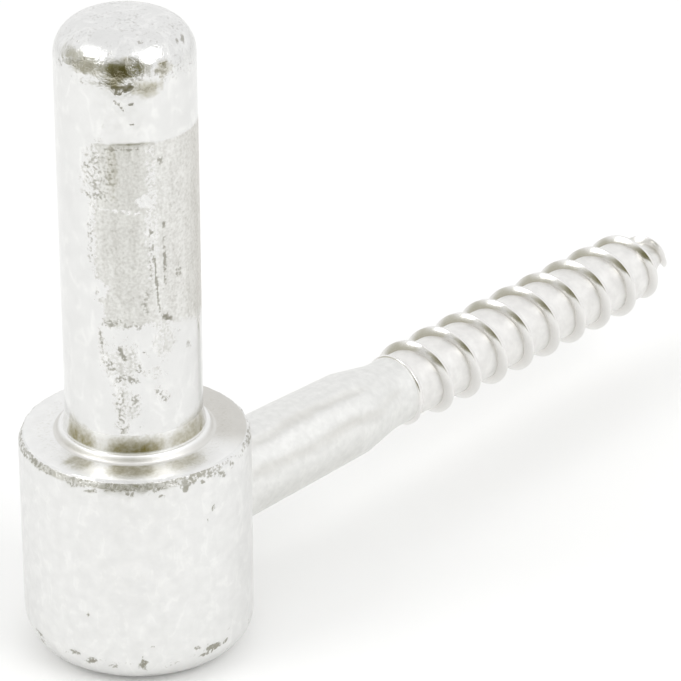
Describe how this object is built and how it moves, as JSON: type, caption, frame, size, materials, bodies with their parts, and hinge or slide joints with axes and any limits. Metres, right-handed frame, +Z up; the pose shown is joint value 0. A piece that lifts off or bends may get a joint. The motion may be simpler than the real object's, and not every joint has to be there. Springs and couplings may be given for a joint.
{
  "type": "gate hinge pin",
  "caption": "Upright round gate hinge pin on a round boss, with a tapered shank and lag screw from its side; it screws into a post and carries a gate's hinge eye.",
  "frame": {"origin": "on the pin's axis, at the boss's top face", "axes": "+Z up the pin, +X along the lag screw towards its point"},
  "size_m": [0.1336, 0.0322, 0.0936],
  "materials": {
    "zinc_plated_steel": "bright zinc plate over forged and turned steel"
  },
  "bodies": {
    "root": {"hinge_pin": "zinc_plated_steel"}
  },
  "joints": []
}
